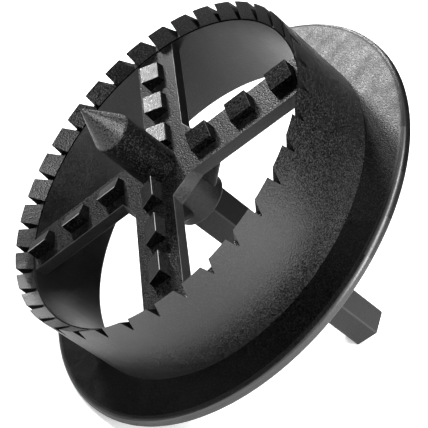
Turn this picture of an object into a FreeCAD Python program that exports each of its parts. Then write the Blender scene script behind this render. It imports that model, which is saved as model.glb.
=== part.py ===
import FreeCAD, Part
import math
import os

# Polystyrene hole cutter for a 65 mm hole, moulded in one piece
# The tool is drawn upright: its axis is Z, the pilot tip points up, the tooth edge is at height 0
# and the first spoke points along X. At the end it is laid down on flange rim and shank end.

# Toothed ring, in millimetres
RING_DIAMETER = 65.0
RING_DRAFT = 0.15
EDGE_BEVEL_WIDTH = 1.75
EDGE_BEVEL_HEIGHT = 2.75
RING_BACK_BORE = 60.2

# Teeth and the gullets between them, which are as deep as the bevel
TOOTH_COUNT = 36
FIRST_GULLET_AZIMUTH = 4.64
GULLET_MOUTH_ANGLE = 3.12
GULLET_FLOOR_START = 0.55
GULLET_FLOOR_ANGLE = 0.45
GULLET_SKEW = 1.05

# Flange that stops the cut
FLANGE_DIAMETER = 81.0
FLANGE_FRONT_DEPTH = 17.6
FLANGE_THICKNESS = 1.7
FLANGE_FRONT_ROUNDING = 0.65
FLANGE_BACK_CHAMFER = 0.3

# Cross of four flat spokes, set off centre like a pinwheel
SPOKE_COUNT = 4
SPOKE_TOP_DEPTH = 2.98
SPOKE_THICKNESS = 2.27
SPOKE_LEADING_WIDTH = 2.45
SPOKE_TRAILING_WIDTH = 6.1
HUB_TRAILING_REACH = 6.8
HUB_LEADING_REACH = 8.65
HUB_FLARE = 0.75

# Wedge blocks that break up the core
BLOCKS_PER_SPOKE = 3
BLOCK_LENGTH = 4.43
BLOCK_PITCH = 8.66
BLOCK_FIRST_START = 8.15
BLOCK_STAGGER = 4.15
BLOCK_REACH_TO_PILOT = 0.3
BLOCK_EDGE_DEPTH = 0.46
BLOCK_FOOT_WIDTH = 0.1
BLOCK_LAND_WIDTH = 3.33
BLOCK_LAND_FALL = 1.16
BLOCK_HEEL_WIDTH = 3.45
BLOCK_ROUNDING = 0.2

# Centre pilot
PILOT_TIP_HEIGHT = 15.35
PILOT_TIP_RADIUS = 0.3
PILOT_TIP_ROUNDING = 0.45
PILOT_SHOULDER_HEIGHT = 8.6
PILOT_SHOULDER_ROUNDING = 0.7
PILOT_DIAMETER = 7.2
PILOT_ROOT_DIAMETER = 7.6

# Collar and gussets behind the hub
COLLAR_DIAMETER = 10.4
COLLAR_DEPTH = 13.9
COLLAR_CHAMFER = 0.4
GUSSET_THICKNESS = 2.2
GUSSET_OFFSET = -1.0
GUSSET_REACH = 13.2
GUSSET_DEPTH = 11.9
GUSSET_ROUNDING = 1.0

# Hexagonal shank
SHANK_ACROSS_FLATS = 8.0
SHANK_END_DEPTH = 62.1
SHANK_CORNER_ROUNDING = 0.4
LOWEST_FLAT_AZIMUTH = 210

# Overlap by which joined volumes run into each other
BITE = 0.4


def face_through(corners):
    """Flat face inside an outline of (point, rounding) corners, each rounding a tangent arc."""
    count = len(corners)
    starts, ends, arcs = [], [], []
    for i, (corner, rounding) in enumerate(corners):
        inward = (corners[i - 1][0] - corner).normalize()
        outward = (corners[(i + 1) % count][0] - corner).normalize()
        half = inward.getAngle(outward) / 2
        reach = rounding / math.tan(half)
        starts.append(corner + inward * reach)
        ends.append(corner + outward * reach)
        bisector = (inward + outward).normalize()
        crown = corner + bisector * (rounding / math.sin(half) - rounding)
        arcs.append(Part.Arc(starts[i], crown, ends[i]).toShape() if rounding else None)
    edges = []
    for i in range(count):
        if arcs[i]:
            edges.append(arcs[i])
        edges.append(Part.LineSegment(ends[i], starts[(i + 1) % count]).toShape())
    return Part.Face(Part.Wire(edges))


def half_section(profile):
    """Corners (radius, height, rounding) as points of the half plane through the axis."""
    return [(FreeCAD.Vector(radius, 0, height), rounding) for radius, height, rounding in profile]


def revolved(profile):
    """Solid of revolution about the tool's axis."""
    return face_through(half_section(profile)).revolve(FreeCAD.Vector(), FreeCAD.Vector(0, 0, 1), 360)


def turned(shape, degrees):
    """Copy of a shape turned about the tool's axis."""
    copy = shape.copy()
    copy.rotate(FreeCAD.Vector(), FreeCAD.Vector(0, 0, 1), degrees)
    return copy


def ring_and_flange():
    """Thin ring with a bevelled cutting edge, and the flange at its back."""
    edge_radius = RING_DIAMETER / 2
    flange_radius = FLANGE_DIAMETER / 2
    back_depth = FLANGE_FRONT_DEPTH + FLANGE_THICKNESS
    bore_radius = RING_BACK_BORE / 2
    return revolved([
        (edge_radius, 0, 0),
        (edge_radius + RING_DRAFT, -FLANGE_FRONT_DEPTH, 0),
        (flange_radius, -FLANGE_FRONT_DEPTH, FLANGE_FRONT_ROUNDING),
        (flange_radius, FLANGE_BACK_CHAMFER - back_depth, 0),
        (flange_radius - FLANGE_BACK_CHAMFER, -back_depth, 0),
        (bore_radius + FLANGE_BACK_CHAMFER, -back_depth, 0),
        (bore_radius, FLANGE_BACK_CHAMFER - back_depth, 0),
        (edge_radius - EDGE_BEVEL_WIDTH, -EDGE_BEVEL_HEIGHT, 0),
    ])


def gullet_outline(radius, skew):
    """Notch outline at one radius: steep leading wall, narrow floor, long slope to the next tooth."""
    slope_angle = GULLET_MOUTH_ANGLE - GULLET_FLOOR_START - GULLET_FLOOR_ANGLE
    above = 1.0
    beyond = above / EDGE_BEVEL_HEIGHT
    mouth_start = -skew - GULLET_FLOOR_START * beyond
    floor_start = GULLET_FLOOR_START - skew
    floor_end = GULLET_FLOOR_START + GULLET_FLOOR_ANGLE
    mouth_end = GULLET_MOUTH_ANGLE + slope_angle * beyond
    outline = [
        (mouth_start, above),
        (floor_start, -EDGE_BEVEL_HEIGHT),
        (floor_end, -EDGE_BEVEL_HEIGHT),
        (mouth_end, above),
    ]
    points = [
        FreeCAD.Vector(radius, radius * math.tan(math.radians(azimuth)), height)
        for azimuth, height in outline
    ]
    return Part.makePolygon(points + points[:1])


def gullets():
    """Notches round the edge, running right through the wall."""
    outer_radius = RING_DIAMETER / 2 + 1
    inner_radius = RING_DIAMETER / 2 - EDGE_BEVEL_WIDTH - 1
    skew_per_mm = GULLET_SKEW / EDGE_BEVEL_WIDTH
    notch = Part.makeLoft(
        [gullet_outline(outer_radius, -skew_per_mm), gullet_outline(inner_radius, GULLET_SKEW + skew_per_mm)],
        True,
        True,
    )
    pitch = 360 / TOOTH_COUNT
    return [turned(notch, FIRST_GULLET_AZIMUTH + pitch * i) for i in range(TOOTH_COUNT)]


def spoke():
    """Flat band along X, wider on its trailing side, ending inside the ring's wall."""
    reach = RING_DIAMETER / 2 - EDGE_BEVEL_WIDTH + BITE
    band = Part.makeBox(
        reach + BITE,
        SPOKE_LEADING_WIDTH + SPOKE_TRAILING_WIDTH,
        SPOKE_THICKNESS,
        FreeCAD.Vector(0, -SPOKE_TRAILING_WIDTH, -SPOKE_TOP_DEPTH - SPOKE_THICKNESS),
    )
    limit = Part.makeCylinder(reach, SPOKE_THICKNESS, FreeCAD.Vector(0, 0, -SPOKE_TOP_DEPTH - SPOKE_THICKNESS))
    return band.common(limit)


def hub_outline(height, flare):
    """Eight-sided hub outline that joins each spoke's edges to its neighbours'."""
    points = []
    for i in range(SPOKE_COUNT):
        turn = FreeCAD.Rotation(FreeCAD.Vector(0, 0, 1), i * 360 / SPOKE_COUNT)
        trailing = FreeCAD.Vector(HUB_TRAILING_REACH + flare, -SPOKE_TRAILING_WIDTH, height)
        leading = FreeCAD.Vector(HUB_LEADING_REACH + flare, SPOKE_LEADING_WIDTH, height)
        points += [turn.multVec(trailing), turn.multVec(leading)]
    return Part.makePolygon(points + points[:1])


def hub():
    """Hub plate whose four open sides flare outwards to the back."""
    top = hub_outline(-SPOKE_TOP_DEPTH, 0)
    bottom = hub_outline(-SPOKE_TOP_DEPTH - SPOKE_THICKNESS, HUB_FLARE)
    return Part.makeLoft([top, bottom], True, True)


def block(start, end):
    """One wedge block on the first spoke: cutting edge along X, land falling away behind it."""
    section = [
        (BLOCK_FOOT_WIDTH, -SPOKE_TOP_DEPTH, 0),
        (0, -BLOCK_EDGE_DEPTH, BLOCK_ROUNDING),
        (-BLOCK_LAND_WIDTH, -BLOCK_EDGE_DEPTH - BLOCK_LAND_FALL, BLOCK_ROUNDING),
        (-BLOCK_HEEL_WIDTH, -SPOKE_TOP_DEPTH, 0),
        (-BLOCK_HEEL_WIDTH, -SPOKE_TOP_DEPTH - BITE, 0),
        (BLOCK_FOOT_WIDTH, -SPOKE_TOP_DEPTH - BITE, 0),
    ]
    corners = [(FreeCAD.Vector(start, across, height), rounding) for across, height, rounding in section]
    return face_through(corners).extrude(FreeCAD.Vector(end - start, 0, 0))


def blocks():
    """Three blocks on each spoke. Every second row sits further in, and its inmost block meets the pilot."""
    row = []
    for i in range(SPOKE_COUNT):
        further_in = i % 2 == 1
        for j in range(BLOCKS_PER_SPOKE):
            start = BLOCK_FIRST_START + BLOCK_PITCH * j - (BLOCK_STAGGER if further_in else 0)
            end = start + BLOCK_LENGTH
            if further_in and j == 0:
                start -= BLOCK_REACH_TO_PILOT
            row.append(turned(block(start, end), i * 360 / SPOKE_COUNT))
    return row


def pilot():
    """Pointed pilot on a shaft that tapers slightly from the hub."""
    return revolved([
        (0, PILOT_TIP_HEIGHT, 0),
        (PILOT_TIP_RADIUS, PILOT_TIP_HEIGHT, PILOT_TIP_ROUNDING),
        (PILOT_DIAMETER / 2, PILOT_SHOULDER_HEIGHT, PILOT_SHOULDER_ROUNDING),
        (PILOT_ROOT_DIAMETER / 2, -SPOKE_TOP_DEPTH, 0),
        (PILOT_ROOT_DIAMETER / 2, -SPOKE_TOP_DEPTH - BITE, 0),
        (0, -SPOKE_TOP_DEPTH - BITE, 0),
    ])


def collar():
    """Round boss behind the hub."""
    top = -SPOKE_TOP_DEPTH - SPOKE_THICKNESS + BITE
    return revolved([
        (0, top, 0),
        (COLLAR_DIAMETER / 2, top, 0),
        (COLLAR_DIAMETER / 2, COLLAR_CHAMFER - COLLAR_DEPTH, 0),
        (COLLAR_DIAMETER / 2 - COLLAR_CHAMFER, -COLLAR_DEPTH, 0),
        (0, -COLLAR_DEPTH, 0),
    ])


def gusset():
    """Three-cornered rib under the first spoke, from collar to spoke, with a rounded lower edge."""
    spoke_bottom = -SPOKE_TOP_DEPTH - SPOKE_THICKNESS
    collar_side = COLLAR_DIAMETER / 2
    inner_end = collar_side - 2 * BITE
    side = GUSSET_OFFSET - GUSSET_THICKNESS / 2
    fall = (GUSSET_DEPTH + spoke_bottom) / (GUSSET_REACH - collar_side)
    outline = [
        (inner_end, spoke_bottom + BITE),
        (GUSSET_REACH + BITE / fall, spoke_bottom + BITE),
        (inner_end, -GUSSET_DEPTH - 2 * BITE * fall),
    ]
    corners = [(FreeCAD.Vector(along, side, height), 0) for along, height in outline]
    rib = face_through(corners).extrude(FreeCAD.Vector(0, GUSSET_THICKNESS, 0))
    slanted = [
        e for e in rib.Edges
        if abs(e.Vertexes[0].Z - e.Vertexes[1].Z) > 1 and abs(e.Vertexes[0].X - e.Vertexes[1].X) > 1
    ]
    return rib.makeFillet(GUSSET_ROUNDING, slanted)


def shank():
    """Hexagonal shank with slightly rounded corners and a plain end."""
    corner_radius = SHANK_ACROSS_FLATS / math.sqrt(3)
    corners = []
    for i in range(6):
        azimuth = math.radians(60 * i)
        point = FreeCAD.Vector(corner_radius * math.cos(azimuth), corner_radius * math.sin(azimuth), -SHANK_END_DEPTH)
        corners.append((point, SHANK_CORNER_ROUNDING))
    length = SHANK_END_DEPTH - COLLAR_DEPTH + BITE
    return face_through(corners).extrude(FreeCAD.Vector(0, 0, length))


def cutter():
    """The whole moulding, upright."""
    body = ring_and_flange()
    pieces = [hub(), pilot(), collar(), shank()] + blocks()
    for i in range(SPOKE_COUNT):
        pieces.append(turned(spoke(), i * 360 / SPOKE_COUNT))
        pieces.append(turned(gusset(), i * 360 / SPOKE_COUNT))
    return body.fuse(pieces).cut(gullets()).removeSplitter()


def laid_down(shape):
    """The tool as it lies: on the back corner of its flange rim and the end edge of one shank flat."""
    along = SHANK_END_DEPTH - (FLANGE_FRONT_DEPTH + FLANGE_THICKNESS - FLANGE_BACK_CHAMFER)
    across = (FLANGE_DIAMETER - SHANK_ACROSS_FLATS) / 2
    lean = math.degrees(math.atan2(along, across))
    lying = turned(shape, 180 - LOWEST_FLAT_AZIMUTH)
    lying.rotate(FreeCAD.Vector(), FreeCAD.Vector(0, 1, 0), -lean)
    box = lying.optimalBoundingBox(False, False)
    lying.translate(FreeCAD.Vector(-box.Center.x, 0, -box.ZMin))
    return lying


body = laid_down(cutter())
os.makedirs("parts", exist_ok=True)
body.exportStep("parts/cutter_body.step")
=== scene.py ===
import math

import bmesh
import bpy
from mathutils import Matrix, Vector


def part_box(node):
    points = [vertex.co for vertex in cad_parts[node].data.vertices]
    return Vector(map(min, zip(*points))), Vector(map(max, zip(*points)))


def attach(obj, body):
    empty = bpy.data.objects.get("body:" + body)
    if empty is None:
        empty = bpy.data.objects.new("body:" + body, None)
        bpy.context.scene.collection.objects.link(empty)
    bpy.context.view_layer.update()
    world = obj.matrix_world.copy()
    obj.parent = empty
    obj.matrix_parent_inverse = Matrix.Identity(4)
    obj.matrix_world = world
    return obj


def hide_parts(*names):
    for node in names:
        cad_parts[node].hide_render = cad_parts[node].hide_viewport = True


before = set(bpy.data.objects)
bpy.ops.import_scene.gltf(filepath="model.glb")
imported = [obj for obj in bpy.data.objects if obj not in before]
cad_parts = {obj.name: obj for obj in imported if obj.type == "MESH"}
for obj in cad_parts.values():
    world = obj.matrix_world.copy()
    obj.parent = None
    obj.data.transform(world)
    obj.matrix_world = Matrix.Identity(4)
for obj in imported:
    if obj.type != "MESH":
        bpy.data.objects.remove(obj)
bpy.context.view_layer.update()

# Hole cutter for foam board, moulded in one piece in grained black plastic.
# Pieces are drawn upright in millimetres: Z is the tool's axis, the pilot tip points up, the tooth
# edge is at height 0 and the first spoke points along X. Then each is laid down on the CAD part.

BODY = "root"
NODE = "cutter_body"

# Toothed ring
RING_RADIUS = 32.5
RING_DRAFT = 0.15
BEVEL_WIDTH = 1.75
BEVEL_HEIGHT = 2.75
BORE_RADIUS = 30.1
TOOTH_COUNT = 36
FIRST_GULLET = 4.64
GULLET_MOUTH = 3.12
GULLET_FLOOR_START = 0.55
GULLET_FLOOR_END = 1.0
GULLET_SKEW = 1.05
LAND_STEPS = 4
FLOOR_STEPS = 3

# Flange
FLANGE_RADIUS = 40.5
FLANGE_FRONT = -17.6
FLANGE_BACK = -19.3
FLANGE_FRONT_ROUNDING = 1.0
FLANGE_BACK_ROUNDING = 0.3
BEVEL_LEDGE = 0.25
RIM_BAND = 1.3

# Cross of spokes and hub
SPOKE_COUNT = 4
SPOKE_TOP = -2.98
SPOKE_BOTTOM = -5.25
SPOKE_LEADING = 2.45
SPOKE_TRAILING = -6.1
SPOKE_REACH = 31.1
HUB_TRAILING_REACH = 6.8
HUB_LEADING_REACH = 8.65
HUB_FLARE = 0.75

# Wedge blocks
BLOCKS_PER_SPOKE = 3
BLOCK_START = 8.15
BLOCK_LENGTH = 4.43
BLOCK_PITCH = 8.66
BLOCK_STAGGER = 4.15
BLOCK_REACH_TO_PILOT = 0.3
BLOCK_EDGE = -0.46
BLOCK_FOOT = 0.1
BLOCK_LAND_END = -3.33
BLOCK_LAND_END_HEIGHT = -1.62
BLOCK_HEEL = -3.45
BLOCK_ROUNDING = 0.12

# Pilot
PILOT_TIP = 15.35
PILOT_TIP_RADIUS = 0.3
PILOT_TIP_ROUNDING = 0.45
PILOT_SHOULDER = 8.6
PILOT_SHOULDER_ROUNDING = 1.3
PILOT_RADIUS = 3.6
PILOT_ROOT_RADIUS = 3.8

# Collar, gussets and shank behind the hub
COLLAR_RADIUS = 5.2
COLLAR_END = -13.9
COLLAR_ROUNDING = 0.4
GUSSET_THICKNESS = 2.2
GUSSET_OFFSET = -1.0
GUSSET_REACH = 13.2
GUSSET_FOOT = -11.9
GUSSET_ROUNDING = 1.0
SHANK_FLAT = 4.0
SHANK_END = -62.1
SHANK_CORNER_ROUNDING = 0.4
LOWEST_FLAT_AZIMUTH = 210

# Depth by which one form runs into the next, and distances that count as none
BITE = 0.4
HAIR = 0.01
SEAM = 0.001
SAME_PLACE = 1e-4

# Softening of moulded edges, for edges sharper than an angle in degrees
CROSS_SOFTENING = 0.1
SHANK_SOFTENING = 0.15
SHARP_ANGLE = 25
SHANK_SHARP_ANGLE = 40

# Sparked grain of the plastic, with its share in tone and roughness, and faint clouds in its sheen
GRAIN_SIZE = 0.25
GRAIN_DEPTH = 0.06
GRAIN_SPECKLE = 0.1
GRAIN_ROUGHNESS = 0.5
CLOUD_SIZE = 3.0
FAINT_CLOUDS = 0.15

# The photograph's camera
CAMERA_PLACE = (-0.10221, -0.18932, 0.11309)
CAMERA_AIM = (-0.00143, -0.00036, 0.03141)
CAMERA_ROLL = 1.83
CAMERA_LENS = 109.0

# Floor and lamps, in metres, degrees and watts
FLOOR_HALF = 0.5
FLOOR_TONE = 0.8
FLOOR_GLOW = 0.55
LAMP_SIZE = 0.1
LAMP_DISTANCE = 0.7
LAMP_AIM = Vector((0, 0, 0.034))
LAMPS = {
    "back_left": (107, 32, 3.2),
    "back_left_high": (107, 44, 2.1),
    "back_right": (71, 32, 1.5),
    "back_right_high": (59, 44, 1.5),
    "back_right_low": (47, 12, 0.25),
    "front_low": (275, 18, 3.1),
    "front_middle": (275, 40, 3.4),
    "front_high": (300, 62, 3.1),
}


def placement():
    """Matrix that lays the upright tool, in millimetres, on the CAD part, in metres."""
    low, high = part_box(NODE)
    rim_height = FLANGE_BACK + FLANGE_BACK_ROUNDING
    lean = math.atan2(rim_height - SHANK_END, FLANGE_RADIUS - SHANK_FLAT)
    reach = math.cos(lean) * SHANK_FLAT - math.sin(lean) * SHANK_END
    drop = math.sin(lean) * SHANK_FLAT - math.cos(lean) * SHANK_END
    shift = Matrix.Translation((high.x - reach / 1000, 0, low.z + drop / 1000))
    tilt = Matrix.Rotation(-lean, 4, "Y")
    turn = Matrix.Rotation(math.radians(180 - LOWEST_FLAT_AZIMUTH), 4, "Z")
    return shift @ tilt @ turn @ Matrix.Scale(1 / 1000, 4)


PLACE = placement()


def polar(radius, degrees, height):
    """Point at a radius and azimuth about the tool's axis."""
    angle = math.radians(degrees)
    return Vector((radius * math.cos(angle), radius * math.sin(angle), height))


def rounded(corners, segments=5):
    """Outline points from (x, y, rounding) corners of an open line, each rounding as an arc."""
    points = [Vector(corners[0][:2])]
    for before, corner, after in zip(corners, corners[1:], corners[2:]):
        at = Vector(corner[:2])
        if not corner[2]:
            points.append(at)
            continue
        inward = (Vector(before[:2]) - at).normalized()
        outward = (Vector(after[:2]) - at).normalized()
        half = inward.angle(outward) / 2
        centre = at + (inward + outward).normalized() * (corner[2] / math.sin(half))
        reach = corner[2] / math.tan(half)
        start = (at + inward * reach - centre).normalized()
        end = (at + outward * reach - centre).normalized()
        for i in range(segments + 1):
            points.append(centre + start.slerp(end, i / segments) * corner[2])
    return points + [Vector(corners[-1][:2])]


def new_object(name, data):
    """Object in the scene from a mesh, a lamp or a camera."""
    made = bpy.data.objects.new(name, data)
    bpy.context.scene.collection.objects.link(made)
    return made


def object_from(name, bm):
    """Object from a bmesh as it is."""
    mesh = bpy.data.meshes.new(name)
    bm.to_mesh(mesh)
    bm.free()
    return new_object(name, mesh)


def closed_object(name, bm):
    """Object from a bmesh, merged and with its faces turned outwards."""
    bmesh.ops.remove_doubles(bm, verts=bm.verts, dist=SAME_PLACE)
    bmesh.ops.recalc_face_normals(bm, faces=bm.faces)
    return object_from(name, bm)


def plain_mesh(piece, name):
    """The evaluated mesh of a piece as a new plain object, and the old one gone."""
    evaluated = piece.evaluated_get(bpy.context.evaluated_depsgraph_get())
    mesh = bpy.data.meshes.new_from_object(evaluated)
    bpy.data.objects.remove(piece)
    mesh.name = name
    return new_object(name, mesh)


def revolve(name, profile, columns=96):
    """Closed solid of revolution from (radius, height) points that start and end on the axis."""
    bm = bmesh.new()
    rows = []
    for radius, height in profile:
        on_axis = abs(radius) < SAME_PLACE
        angles = [0] if on_axis else [360 * i / columns for i in range(columns)]
        rows.append([bm.verts.new(polar(radius, angle, height)) for angle in angles])
    for upper, lower in zip(rows, rows[1:]):
        for i in range(columns):
            j = (i + 1) % columns
            around = ((upper, i), (lower, i), (lower, j), (upper, j))
            corners = [row[column % len(row)] for row, column in around]
            bm.faces.new(list(dict.fromkeys(corners)))
    return closed_object(name, bm)


def prism(name, outline, end, softened=None, rounding=0.0, segments=3):
    """Solid from a flat outline pushed along a vector; edges picked by a test are rounded."""
    bm = bmesh.new()
    near = [bm.verts.new(point) for point in outline]
    far = [bm.verts.new(point + end) for point in outline]
    bm.faces.new(near)
    bm.faces.new(far[::-1])
    count = len(outline)
    for i in range(count):
        j = (i + 1) % count
        bm.faces.new([near[i], far[i], far[j], near[j]])
    if softened:
        edges = [edge for edge in bm.edges if softened(*(v.co for v in edge.verts))]
        bmesh.ops.bevel(bm, geom=edges, offset=rounding, segments=segments, profile=0.5, affect="EDGES")
    return closed_object(name, bm)


def tooth_columns():
    """Azimuths from one gullet to the next, along the outside and along the slanted inside."""
    pitch = 360 / TOOTH_COUNT
    land_step = (pitch - GULLET_MOUTH) / LAND_STEPS
    outer = [0, GULLET_FLOOR_START, GULLET_FLOOR_END]
    outer += [GULLET_MOUTH + land_step * i for i in range(LAND_STEPS + 1)]
    floor_lead = GULLET_FLOOR_START - GULLET_SKEW
    floor_step = (GULLET_FLOOR_END - floor_lead) / FLOOR_STEPS
    foot_step = (pitch + floor_lead - GULLET_FLOOR_END) / LAND_STEPS
    inner = [floor_lead + floor_step * i for i in range(FLOOR_STEPS)]
    inner += [GULLET_FLOOR_END + foot_step * i for i in range(LAND_STEPS + 1)]
    return outer, inner


def ring_outline():
    """Section of wall and flange in radius and height, from the gullet's floor round to the bevel's foot."""
    floor_radius = RING_RADIUS + RING_DRAFT * BEVEL_HEIGHT / -FLANGE_FRONT
    return rounded([
        (floor_radius, -BEVEL_HEIGHT, 0),
        (RING_RADIUS + RING_DRAFT, FLANGE_FRONT, 0),
        (FLANGE_RADIUS - RIM_BAND, FLANGE_FRONT, 0),
        (FLANGE_RADIUS, FLANGE_FRONT, FLANGE_FRONT_ROUNDING),
        (FLANGE_RADIUS, FLANGE_BACK, FLANGE_BACK_ROUNDING),
        (BORE_RADIUS, FLANGE_BACK, FLANGE_BACK_ROUNDING),
        (RING_RADIUS - BEVEL_WIDTH - BEVEL_LEDGE, -BEVEL_HEIGHT - BEVEL_LEDGE / 2, 0),
        (RING_RADIUS - BEVEL_WIDTH, -BEVEL_HEIGHT, 0),
    ])


def ring_sector():
    """One tooth with its gullet and the stretch of wall and flange behind it."""
    outer_columns, inner_columns = tooth_columns()
    outline = ring_outline()
    bm = bmesh.new()

    def row(columns, radius, height):
        return [bm.verts.new(polar(radius, FIRST_GULLET + column, height)) for column in columns]

    lead_corner = bm.verts.new(polar(RING_RADIUS, FIRST_GULLET, 0))
    edge = row(outer_columns[3:], RING_RADIUS, 0)
    back = min(range(len(outline)), key=lambda i: (outline[i].y, outline[i].x))
    rows = [row(outer_columns if i < back else inner_columns, *point) for i, point in enumerate(outline)]
    for upper, lower in zip(rows, rows[1:]):
        for i in range(len(outer_columns) - 1):
            bm.faces.new([upper[i], lower[i], lower[i + 1], upper[i + 1]])
    outer, foot = rows[0], rows[-1]
    bm.faces.new([lead_corner, outer[0], outer[1]])
    bm.faces.new([outer[2], outer[3], edge[0]])
    bm.faces.new([lead_corner, outer[1], foot[0]])
    bm.faces.new([edge[0], foot[3], outer[2]])
    bm.faces.new([outer[1], outer[2]] + foot[3::-1])
    for i in range(LAND_STEPS):
        bm.faces.new([edge[i], outer[3 + i], outer[4 + i], edge[i + 1]])
        bm.faces.new([edge[i], edge[i + 1], foot[4 + i], foot[3 + i]])
    bmesh.ops.recalc_face_normals(bm, faces=bm.faces)
    return object_from("ring_sector", bm)


class Tree:
    """Builds a node tree: one method adds any node, and Python operators add the maths."""

    def __init__(self, tree):
        self.tree = tree

    def node(self, kind, settings=None, **inputs):
        """Adds a node, sets its settings, then fills its sockets with values or links."""
        node = self.tree.nodes.new(kind)
        for key, value in (settings or {}).items():
            setattr(node, key, value)
        for key, value in inputs.items():
            numbered = key[0] == "i" and key[1:].isdigit()
            socket = node.inputs[int(key[1:]) if numbered else key.replace("_", " ")]
            if isinstance(value, Wire):
                self.tree.links.new(value.socket, socket)
            elif isinstance(value, bpy.types.NodeSocket):
                self.tree.links.new(value, socket)
            else:
                socket.default_value = value
        return node

    def wire(self, socket):
        return Wire(self, socket)

    def maths(self, operation, *values):
        inputs = {f"i{i}": value for i, value in enumerate(values)}
        return Wire(self, self.node("ShaderNodeMath", {"operation": operation}, **inputs).outputs[0])


class Wire:
    """A socket that can be added, multiplied and so on."""

    def __init__(self, maker, socket):
        self.maker = maker
        self.socket = socket

    def __add__(self, other):
        return self.maker.maths("ADD", self, other)

    def __radd__(self, other):
        return self.maker.maths("ADD", other, self)

    def __sub__(self, other):
        return self.maker.maths("SUBTRACT", self, other)

    def __mul__(self, other):
        return self.maker.maths("MULTIPLY", self, other)

    def __truediv__(self, other):
        return self.maker.maths("DIVIDE", self, other)

    def floor(self):
        return self.maker.maths("FLOOR", self)

    def modulo(self, other):
        return self.maker.maths("MODULO", self, other)


def geometry_tree(name, numbers):
    """A Geometry Nodes tree with named inputs, its maker and its input node."""
    tree = bpy.data.node_groups.new(name, "GeometryNodeTree")
    tree.interface.new_socket("Geometry", in_out="INPUT", socket_type="NodeSocketGeometry")
    for label, kind in numbers.items():
        tree.interface.new_socket(label, in_out="INPUT", socket_type=kind)
    tree.interface.new_socket("Material", in_out="INPUT", socket_type="NodeSocketMaterial")
    tree.interface.new_socket("Geometry", in_out="OUTPUT", socket_type="NodeSocketGeometry")
    maker = Tree(tree)
    return tree, maker, maker.node("NodeGroupInput")


def close_tree(maker, given, instances, merge):
    """Ends a tree: instances made real, seams merged, material set."""
    real = maker.node("GeometryNodeRealizeInstances", Geometry=instances).outputs[0]
    if merge:
        real = maker.node("GeometryNodeMergeByDistance", Geometry=real, Distance=merge).outputs[0]
    finished = maker.node("GeometryNodeSetMaterial", Geometry=real, Material=given.outputs["Material"])
    maker.node("NodeGroupOutput", Geometry=finished.outputs[0])


def repeat_tree():
    """Repeats a piece a number of times round the tool's axis."""
    tree, maker, given = geometry_tree("repeat_round_axis", {"Count": "NodeSocketInt"})
    count = maker.wire(given.outputs["Count"])
    line = maker.node("GeometryNodeMeshLine", Count=count, Offset=(0, 0, 0))
    index = maker.wire(maker.node("GeometryNodeInputIndex").outputs[0])
    turn = maker.node("ShaderNodeCombineXYZ", Z=index * math.tau / count)
    placed = maker.node(
        "GeometryNodeInstanceOnPoints",
        Points=line.outputs[0],
        Instance=given.outputs["Geometry"],
        Rotation=turn.outputs[0],
    )
    close_tree(maker, given, placed.outputs[0], SEAM)
    return tree


def blocks_tree():
    """Sets a block on each spoke several times; every second row sits further in and meets the pilot."""
    numbers = {label: "NodeSocketFloat" for label in ("Start", "Pitch", "Stagger", "Length", "Reach")}
    tree, maker, given = geometry_tree("blocks_on_spokes", numbers)
    start, pitch, stagger, length, reach = (maker.wire(given.outputs[label]) for label in numbers)
    line = maker.node("GeometryNodeMeshLine", Count=SPOKE_COUNT * BLOCKS_PER_SPOKE, Offset=(0, 0, 0))
    index = maker.wire(maker.node("GeometryNodeInputIndex").outputs[0])
    spoke = (index / BLOCKS_PER_SPOKE).floor()
    place = index.modulo(BLOCKS_PER_SPOKE)
    further_in = spoke.modulo(2)
    inmost = maker.maths("LESS_THAN", place, 0.5) * further_in
    along = start + pitch * place - stagger * further_in - reach * inmost
    stretch = 1 + inmost * reach / length
    turn = spoke * (math.tau / SPOKE_COUNT)
    rotation = maker.node("ShaderNodeCombineXYZ", Z=turn)
    out = maker.node("ShaderNodeCombineXYZ", X=along)
    about_axis = {"rotation_type": "Z_AXIS"}
    spot = maker.node("ShaderNodeVectorRotate", about_axis, Vector=out.outputs[0], Angle=turn)
    moved = maker.node("GeometryNodeSetPosition", Geometry=line.outputs[0], Position=spot.outputs[0])
    size = maker.node("ShaderNodeCombineXYZ", X=stretch, Y=1.0, Z=1.0)
    placed = maker.node(
        "GeometryNodeInstanceOnPoints",
        Points=moved.outputs[0],
        Instance=given.outputs["Geometry"],
        Rotation=rotation.outputs[0],
        Scale=size.outputs[0],
    )
    close_tree(maker, given, placed.outputs[0], None)
    return tree


def grown(piece, name, tree, **values):
    """Runs a Geometry Nodes tree on a piece and returns the result as a plain mesh."""
    modifier = piece.modifiers.new("grow", "NODES")
    modifier.node_group = tree
    sockets = {item.name: item.identifier for item in tree.interface.items_tree if item.in_out == "INPUT"}
    for label, value in values.items():
        modifier[sockets[label]] = value
    modifier[sockets["Material"]] = finish("back")
    return plain_mesh(piece, name)


def mark_edges(mesh, angle, softened):
    """Marks sharp outer edges for softening, and keeps the other sharp edges sharp."""
    bm = bmesh.new()
    bm.from_mesh(mesh)
    weight = bm.edges.layers.float.new("bevel_weight_edge")
    for edge in bm.edges:
        if edge.calc_face_angle(0) < math.radians(angle):
            continue
        if softened and edge.is_convex:
            edge[weight] = 1
        else:
            edge.smooth = False
    bm.to_mesh(mesh)
    bm.free()


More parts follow.
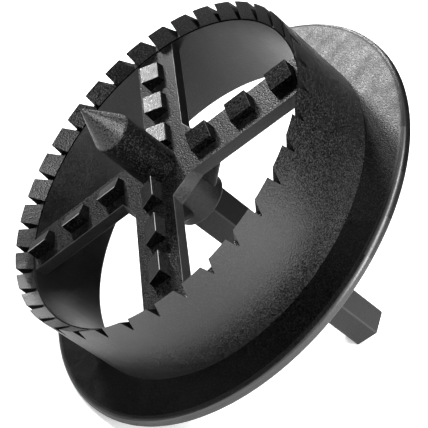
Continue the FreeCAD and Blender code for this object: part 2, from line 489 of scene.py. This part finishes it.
def laid(piece, finish_of, softening=0, angle=SHARP_ANGLE, edge=None):
    """Finishes a piece's faces, lays it on the CAD part and softens its edges, which may take a painted
    highlight; it stands for the moulding.
    """
    name = piece.name
    piece.data.materials.clear()
    used = []
    for polygon in piece.data.polygons:
        label = finish_of(polygon.center, polygon.normal)
        if label not in used:
            used.append(label)
            piece.data.materials.append(finish(label))
        polygon.material_index = used.index(label)
        polygon.use_smooth = True
    if edge:
        piece.data.materials.append(finish(edge))
    piece.data.transform(PLACE)
    mark_edges(piece.data, angle, softening > 0)
    if softening:
        bevel = piece.modifiers.new("softening", "BEVEL")
        bevel.width = softening / 1000
        bevel.segments = 2
        bevel.limit_method = "WEIGHT"
        bevel.material = len(used) if edge else -1
    weighted = piece.modifiers.new("flat_faces", "WEIGHTED_NORMAL")
    weighted.keep_sharp = True
    piece.name = name + "_rough"
    piece = plain_mesh(piece, name)
    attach(piece, BODY)
    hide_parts(NODE)


def spoke_quarter():
    """One spoke and its share of the hub, whose open side flares to the back."""
    quarter = Matrix.Rotation(math.tau / SPOKE_COUNT, 3, "Z")
    bm = bmesh.new()
    rows = []
    for height, flare in ((SPOKE_TOP, 0), (SPOKE_BOTTOM, HUB_FLARE)):
        trailing = Vector((HUB_TRAILING_REACH + flare, SPOKE_TRAILING, height))
        leading = Vector((HUB_LEADING_REACH + flare, SPOKE_LEADING, height))
        rows.append([
            Vector((0, 0, height)),
            trailing,
            Vector((SPOKE_REACH, SPOKE_TRAILING, height)),
            Vector((SPOKE_REACH, SPOKE_LEADING, height)),
            leading,
            quarter @ trailing,
        ])
    top, bottom = ([bm.verts.new(point) for point in row] for row in rows)
    bm.faces.new(top)
    bm.faces.new(bottom[::-1])
    for i in range(1, 5):
        bm.faces.new([top[i], bottom[i], bottom[i + 1], top[i + 1]])
    return object_from("spoke_quarter", bm)


def wedge_block():
    """One block at the start of the first spoke: cutting edge along X, land falling away behind it."""
    section = [
        (BLOCK_FOOT, SPOKE_TOP),
        (0, BLOCK_EDGE),
        (BLOCK_LAND_END, BLOCK_LAND_END_HEIGHT),
        (BLOCK_HEEL, SPOKE_TOP),
        (BLOCK_HEEL, SPOKE_TOP - BITE),
        (BLOCK_FOOT, SPOKE_TOP - BITE),
    ]
    outline = [Vector((0, across, height)) for across, height in section]

    def proud(a, b):
        return max(a.z, b.z) > SPOKE_TOP + BLOCK_ROUNDING

    return prism("wedge_block", outline, Vector((BLOCK_LENGTH, 0, 0)), proud, BLOCK_ROUNDING, 3)


def gusset():
    """Rib under the first spoke, from collar to spoke, with a rounded lower edge."""
    side = GUSSET_OFFSET - GUSSET_THICKNESS / 2
    slope = (SPOKE_BOTTOM - GUSSET_FOOT) / (GUSSET_REACH - COLLAR_RADIUS)
    inner = COLLAR_RADIUS - 2 * BITE
    top = SPOKE_BOTTOM + BITE
    outline = [
        Vector((inner, side, top)),
        Vector((GUSSET_REACH + BITE / slope, side, top)),
        Vector((inner, side, GUSSET_FOOT - 2 * BITE * slope)),
    ]

    def slanted(a, b):
        return abs(a.x - b.x) > 1 and abs(a.z - b.z) > 1

    return prism("gusset", outline, Vector((0, GUSSET_THICKNESS, 0)), slanted, GUSSET_ROUNDING, 5)


def shank():
    """Hexagonal shank with slightly rounded corners and a plain end."""
    corner_radius = SHANK_FLAT * 2 / math.sqrt(3)
    corners = [(*polar(corner_radius, 60 * i, 0).xy, SHANK_CORNER_ROUNDING) for i in range(7)]
    start = (*((Vector(corners[0][:2]) + Vector(corners[5][:2])) / 2), 0)
    points = rounded([start] + corners[:6] + [start], 4)[1:-1]
    outline = [Vector((*point, COLLAR_END + BITE)) for point in points]
    return prism("hex_shank", outline, Vector((0, 0, SHANK_END - COLLAR_END - BITE)))


def pilot():
    """Pointed pilot with a soft shoulder."""
    profile = rounded([
        (0, PILOT_TIP, 0),
        (PILOT_TIP_RADIUS, PILOT_TIP, PILOT_TIP_ROUNDING),
        (PILOT_RADIUS, PILOT_SHOULDER, PILOT_SHOULDER_ROUNDING),
        (PILOT_ROOT_RADIUS, SPOKE_TOP - BITE, 0),
        (0, SPOKE_TOP - BITE, 0),
    ])
    return revolve("pilot", profile)


def collar():
    """Round boss behind the hub."""
    profile = rounded([
        (0, SPOKE_BOTTOM + BITE, 0),
        (COLLAR_RADIUS, SPOKE_BOTTOM + BITE, 0),
        (COLLAR_RADIUS, COLLAR_END, COLLAR_ROUNDING),
        (0, COLLAR_END, 0),
    ])
    return revolve("collar", profile)


def black_plastic(name, tone, sheen, roughness, grain, clouds=FAINT_CLOUDS):
    """Moulded black plastic: fine sparked grain in tone, roughness and surface, and clouds in the sheen."""
    material = bpy.data.materials.new(name)
    material.use_nodes = True
    material.node_tree.nodes.clear()
    maker = Tree(material.node_tree)
    place = maker.node("ShaderNodeTexCoord").outputs["Object"]
    fine = maker.node("ShaderNodeTexNoise", Vector=place, Scale=1000 / GRAIN_SIZE, Detail=0.0, Roughness=0.5)
    cloud = maker.node("ShaderNodeTexNoise", Vector=place, Scale=1000 / CLOUD_SIZE, Detail=3.0, Roughness=0.6)
    speck = maker.wire(fine.outputs["Fac"]) - 0.5
    drift = maker.wire(cloud.outputs["Fac"]) - 0.5
    rough = roughness + drift * clouds + speck * GRAIN_ROUGHNESS * grain
    shade = maker.maths("MAXIMUM", tone + speck * GRAIN_SPECKLE * grain, 0.0)
    depth = GRAIN_DEPTH / 1000 * grain
    bump = maker.node("ShaderNodeBump", Strength=1.0, Distance=depth, Height=fine.outputs["Fac"])
    surface = maker.node(
        "ShaderNodeBsdfPrincipled",
        Base_Color=shade,
        Specular_IOR_Level=sheen,
        Roughness=rough,
        Normal=bump.outputs[0],
    )
    maker.node("ShaderNodeOutputMaterial", Surface=surface.outputs[0])
    return material


# Tone, sheen, roughness and grain of each kind of face, and its clouds where they are more than faint
FINISHES = {
    "outer_wall": (0.004, 1.0, 0.39, 0.6),
    "bevel": (0.012, 0.44, 0.4, 0.9),
    # Bevel in painted shade, for the stretch of lands the lamps light less
    "bevel_dim": (0.004, 0.24, 0.4, 0.9),
    # Gullets in painted shade, the floor and leading wall darker than the slope
    "gullet": (0.002, 0.05, 0.42, 0.0),
    "gullet_slope": (0.004, 0.18, 0.42, 0.0),
    # Black ledge at the bevel's foot, a line of painted shade
    "groove": (0.001, 0.02, 0.6, 0.0),
    # Painted highlights on softened edges and on cutting edges
    "edge_line": (0.05, 0.55, 0.42, 0.0),
    "cutting_edge": (0.4, 1.0, 0.42, 0.0),
    "inner_wall": (0.003, 0.8, 0.36, 0.4),
    "flange_front": (0.003, 0.19, 0.4, 0.5, 0.3),
    # Flange front in painted shade, where the ring's shadow falls
    "flange_low": (0.002, 0.155, 0.4, 0.35, 0.3),
    # Rim band in steps: the plain band, painted light on the low side, and a fading step between
    "rim_band": (0.004, 0.15, 0.4, 0.3, 0.3),
    "rim_band_low": (0.008, 0.38, 0.4, 0.2, 0.3),
    "rim_band_fading": (0.006, 0.26, 0.4, 0.2, 0.3),
    # Flange edge in steps round the ring, from painted light on the low side to deepening painted shade
    "flange_edge": (0.022, 1.0, 0.4, 0.1),
    "flange_edge_turning": (0.014, 0.75, 0.4, 0.1),
    "flange_edge_dim": (0.008, 0.5, 0.4, 0.1),
    "flange_edge_dark": (0.004, 0.3, 0.4, 0.1),
    "spoke_top": (0.009, 0.13, 0.42, 1.0),
    "spoke_side": (0.01, 1.0, 0.42, 0.3),
    # Spoke side in painted shade, hub facets in painted light, and another spoke side in painted shade
    "spoke_dim": (0.008, 0.55, 0.42, 0.3),
    "hub_facet": (0.04, 1.0, 0.42, 0.5),
    "spoke_shade": (0.002, 0.1, 0.42, 0.3),
    "block_land": (0.004, 0.41, 0.4, 0.8),
    # Lands in painted shade, block fronts in painted light, block sides in painted shade
    "land_dim": (0.002, 0.16, 0.42, 0.7),
    "block_front": (0.008, 0.3, 0.42, 0.6),
    "block_side": (0.001, 0.06, 0.42, 0.4),
    "cone": (0.024, 0.32, 0.38, 0.9),
    "pilot_side": (0.001, 0.17, 0.42, 0.7),
    "collar": (0.03, 0.36, 0.42, 0.4),
    "shank": (0.032, 0.28, 0.42, 0.2),
    # Painted highlight on the shank's ridges
    "shank_ridge": (0.05, 0.35, 0.42, 0.2),
    "gusset": (0.02, 0.1, 0.42, 0.3),
    # Gussets in painted shade
    "gusset_dim": (0.01, 0.1, 0.42, 0.3),
    "back": (0.03, 0.4, 0.42, 0.5),
}

# Shares of a face's normal by which it counts as facing a way
WALL_FACING = 0.85
BORE_FACING = 0.6
SQUARELY = 0.9
HALFWAY = 0.5
ROUNDING_START = 0.2
LAND_FACING_UP = 0.88
SIDE_FACING_UP = 0.3
LEADING_EDGE = 0.4
OUTER_EDGE = 0.45

# Degrees off a flat where the shank's ridge starts, and how far the cone's finish runs past its shoulder
RIDGE_OFF_FLAT = 5
CONE_OVERLAP = 0.3

# Finishes round the ring, in degrees: the bevel's stretch of painted shade, and the flange's steps of painted
# light and shade, counted from its low side on
BEVEL_SHADE_START = 285
BEVEL_SHADE_END = 105
FAR_HALF_END = 150
LOW_SIDE_START = 150
PAINTED_LIGHT_SPAN = 161
SIDE_STEPS = (
    (PAINTED_LIGHT_SPAN, "flange_edge"),
    (172, "flange_edge_turning"),
    (183, "flange_edge_dim"),
    (360, "flange_edge_dark"),
)
ROUNDING_STEPS = ((195, "flange_edge"), (225, "flange_edge_dim"), (360, "flange_edge_dark"))
RIM_BAND_STEPS = ((175, "rim_band_low"), (195, "rim_band_fading"), (360, "rim_band"))
FRONT_STEPS = ((170, "flange_low"), (360, "flange_front"))


MADE = {}


def finish(label):
    """The material of one kind of face, made when first asked for."""
    if label not in MADE:
        MADE[label] = black_plastic(label, *FINISHES[label])
    return MADE[label]


def always(label):
    """Choice of the same finish for every face."""
    return lambda centre, normal: label


def step_at(steps, turned):
    """The finish that holds at an angle from the start of the flange's low side."""
    return next(label for limit, label in steps if turned < limit)


def rim_finish(turned, outward):
    """Finish of the flange's rounded front edge and side: painted light on the low side, then painted shade
    round the ring, on the side first, then on the rounding.
    """
    if outward < ROUNDING_START or outward < HALFWAY and turned < PAINTED_LIGHT_SPAN:
        return step_at(RIM_BAND_STEPS, turned)
    return step_at(ROUNDING_STEPS if outward < WALL_FACING else SIDE_STEPS, turned)


def tooth_finish(normal, azimuth, onward):
    """Finish of a face above the bevel's foot: gullet floor and sides in painted shade, darkest on the floor
    and leading side, or bevel, with a stretch in painted shade.
    """
    # Gullet floors up to azimuth 150 and the leading walls get the darker painted shade, the slopes a lighter
    # painted shade.
    if normal.z > SQUARELY and azimuth < FAR_HALF_END:
        return "gullet"
    if abs(onward) > HALFWAY:
        return "gullet" if onward > 0 else "gullet_slope"
    # The bevel gets painted shade on the stretch round the ring that the lamps light less.
    return "bevel_dim" if azimuth > BEVEL_SHADE_START or azimuth < BEVEL_SHADE_END else "bevel"


def ring_faces(centre, normal):
    radius = centre.xy.length
    azimuth = math.degrees(math.atan2(centre.y, centre.x)) % 360
    turned = (azimuth - LOW_SIDE_START) % 360
    outward = normal.xy.dot(centre.xy) / radius
    onward = centre.xy.cross(normal.xy) / radius
    if outward > WALL_FACING and radius < FLANGE_RADIUS - RIM_BAND:
        return "outer_wall"
    if centre.z > -BEVEL_HEIGHT - HAIR:
        return tooth_finish(normal, azimuth, onward)
    # The ledge at the bevel's foot is a black line of painted shade.
    if centre.z > -BEVEL_HEIGHT - BEVEL_LEDGE:
        return "groove"
    if outward < -BORE_FACING:
        return "inner_wall"
    if normal.z < 0 and outward < HALFWAY:
        return "back"
    if radius > FLANGE_RADIUS - RIM_BAND:
        return rim_finish(turned, outward)
    # The flange front gets painted shade on its low side, where the ring's shadow falls.
    return step_at(FRONT_STEPS, turned)


def cross_faces(centre, normal):
    if abs(normal.z) > HALFWAY:
        return "spoke_top" if normal.z > 0 else "back"
    # Hub facets get painted light; the +X side of the spoke on +Y and the -Y side of the spoke on -X get
    # painted shade.
    if max(abs(normal.x), abs(normal.y)) < SQUARELY:
        return "hub_facet"
    if normal.x > SQUARELY and centre.y > 0:
        return "spoke_shade"
    return "spoke_dim" if normal.y < -SQUARELY and centre.x < 0 else "spoke_side"


def block_faces(centre, normal):
    # Lands on the spoke along -Y get painted shade and its blocks' fronts painted light; all block sides get
    # painted shade.
    on_lower_spoke = centre.y < -BLOCK_START / 2
    if normal.z > LAND_FACING_UP:
        return "land_dim" if on_lower_spoke and abs(centre.x) < BLOCK_START / 2 else "block_land"
    if normal.z < SIDE_FACING_UP:
        return "block_front" if on_lower_spoke and normal.x > SQUARELY else "block_side"
    outward = normal.xy.dot(centre.xy) / centre.xy.length
    onward = centre.xy.cross(normal.xy) / centre.xy.length
    # Painted highlights on the leading cutting edges, except on the spoke along +X, and on the outer edges.
    if onward > LEADING_EDGE and centre.x < -BLOCK_HEEL:
        return "cutting_edge"
    return "edge_line" if outward > OUTER_EDGE else "block_side"


def gusset_faces(centre, normal):
    # Gussets other than the one under the spoke along +X get painted shade.
    return "gusset" if centre.x > abs(centre.y) else "gusset_dim"


def shank_faces(centre, normal):
    # The faces round the corners between flats carry a painted highlight along the ridges.
    off_flat = abs((math.degrees(math.atan2(normal.y, normal.x)) % 60) - 30)
    return "shank_ridge" if abs(normal.z) < HALFWAY and off_flat > RIDGE_OFF_FLAT else "shank"


def pilot_faces(centre, normal):
    return "cone" if centre.z > PILOT_SHOULDER - CONE_OVERLAP else "pilot_side"


def pale_material(name, tone, white_to_camera):
    """Matt material that looks lighter to the camera and throws no more light on the tool."""
    material = bpy.data.materials.new(name)
    material.use_nodes = True
    material.node_tree.nodes.clear()
    maker = Tree(material.node_tree)
    matt = maker.node("ShaderNodeBsdfDiffuse", Color=(tone, tone, tone, 1))
    glow = maker.node("ShaderNodeEmission", Color=(1, 1, 1, 1), Strength=white_to_camera)
    seen = maker.node("ShaderNodeLightPath").outputs["Is Camera Ray"]
    both = maker.node("ShaderNodeAddShader", i0=matt.outputs[0], i1=glow.outputs[0])
    chosen = maker.node("ShaderNodeMixShader", Fac=seen, i1=matt.outputs[0], i2=both.outputs[0])
    maker.node("ShaderNodeOutputMaterial", Surface=chosen.outputs[0])
    return material


repeat = repeat_tree()
laid(grown(ring_sector(), "toothed_ring", repeat, Count=TOOTH_COUNT), ring_faces)
spoke_cross = grown(spoke_quarter(), "spoke_cross", repeat, Count=SPOKE_COUNT)
# The cross's softened edges take a painted highlight.
laid(spoke_cross, cross_faces, CROSS_SOFTENING, edge="edge_line")
wedge_blocks = grown(
    wedge_block(),
    "wedge_blocks",
    blocks_tree(),
    Start=BLOCK_START,
    Pitch=BLOCK_PITCH,
    Stagger=BLOCK_STAGGER,
    Length=BLOCK_LENGTH,
    Reach=BLOCK_REACH_TO_PILOT,
)
laid(wedge_blocks, block_faces)
laid(grown(gusset(), "gussets", repeat, Count=SPOKE_COUNT), gusset_faces)
laid(pilot(), pilot_faces)
laid(collar(), always("collar"))
laid(shank(), shank_faces, SHANK_SOFTENING, SHANK_SHARP_ANGLE)

floor_mesh = bpy.data.meshes.new("floor")
floor_corners = [(x * FLOOR_HALF, y * FLOOR_HALF, 0) for x, y in ((-1, -1), (1, -1), (1, 1), (-1, 1))]
floor_mesh.from_pydata(floor_corners, [], [(0, 1, 2, 3)])
floor = new_object("floor", floor_mesh)
floor.data.materials.append(pale_material("pale_floor", FLOOR_TONE, FLOOR_GLOW))


def look_at(place, aim, roll=0.0):
    """Matrix for a camera or lamp at a place, aimed at a point and rolled about its view."""
    view = (Vector(aim) - Vector(place)).normalized()
    turn = view.to_track_quat("-Z", "Y").to_matrix().to_4x4()
    return Matrix.Translation(place) @ turn @ Matrix.Rotation(math.radians(roll), 4, "Z")


def lamp(name, azimuth, elevation, power):
    """Square area lamp at a compass angle and height above the floor, aimed at the tool."""
    data = bpy.data.lights.new(name, "AREA")
    data.shape = "SQUARE"
    data.size = LAMP_SIZE
    data.energy = power
    light = new_object(name, data)
    rise = math.radians(elevation)
    direction = polar(math.cos(rise), azimuth, math.sin(rise))
    light.matrix_world = look_at(LAMP_AIM + direction * LAMP_DISTANCE, LAMP_AIM)


camera_data = bpy.data.cameras.new("camera")
camera_data.sensor_width = 36.0
camera_data.lens = CAMERA_LENS
camera_data.clip_start = 0.01
camera = new_object("camera", camera_data)
camera.matrix_world = look_at(CAMERA_PLACE, CAMERA_AIM, CAMERA_ROLL)
bpy.context.scene.camera = camera

world = bpy.data.worlds.new("studio")
bpy.context.scene.world = world
world.use_nodes = True
world.node_tree.nodes.clear()
sky = Tree(world.node_tree)
dim = sky.node("ShaderNodeBackground", Color=(1, 1, 1, 1), Strength=0.0)
white = sky.node("ShaderNodeBackground", Color=(1, 1, 1, 1), Strength=1.0)
seen = sky.node("ShaderNodeLightPath").outputs["Is Camera Ray"]
chosen = sky.node("ShaderNodeMixShader", Fac=seen, i1=dim.outputs[0], i2=white.outputs[0])
sky.node("ShaderNodeOutputWorld", Surface=chosen.outputs[0])

for name, (azimuth, elevation, power) in LAMPS.items():
    lamp(name, azimuth, elevation, power)

bpy.context.scene.view_settings.view_transform = "Standard"
